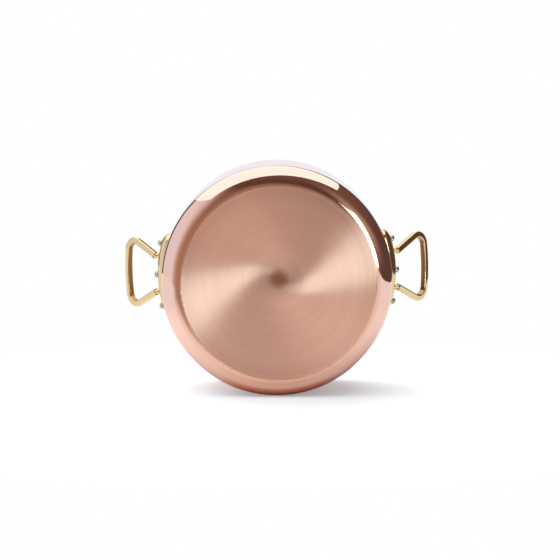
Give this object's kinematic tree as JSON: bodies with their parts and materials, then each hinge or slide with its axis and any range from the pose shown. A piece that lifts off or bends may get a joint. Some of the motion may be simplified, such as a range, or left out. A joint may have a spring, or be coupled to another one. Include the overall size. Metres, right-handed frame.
{
  "type": "stew pan",
  "caption": "Straight-sided round copper stew pan lined with thin steel, with a rounded bottom edge and cast brass loop handles riveted to opposite sides of the wall.",
  "frame": {"origin": "middle of the flat underside, on the axis of the round body", "axes": "+Z from the underside up to the rim, +X through the middle of the right handle, +Y completing a right-handed frame"},
  "size_m": [0.3386, 0.244, 0.1536],
  "materials": {
    "copper": "brushed underside, polished corner and wall",
    "lining_steel": "satin",
    "cast_brass": "polished casting",
    "rivet_steel": "polished"
  },
  "bodies": {
    "root": {"copper_body": "copper", "steel_lining": "lining_steel", "right_handle": "cast_brass", "left_handle": "cast_brass", "right_rivet_1": "rivet_steel", "right_rivet_2": "rivet_steel", "right_rivet_3": "rivet_steel", "left_rivet_1": "rivet_steel", "left_rivet_2": "rivet_steel", "left_rivet_3": "rivet_steel"}
  },
  "joints": []
}
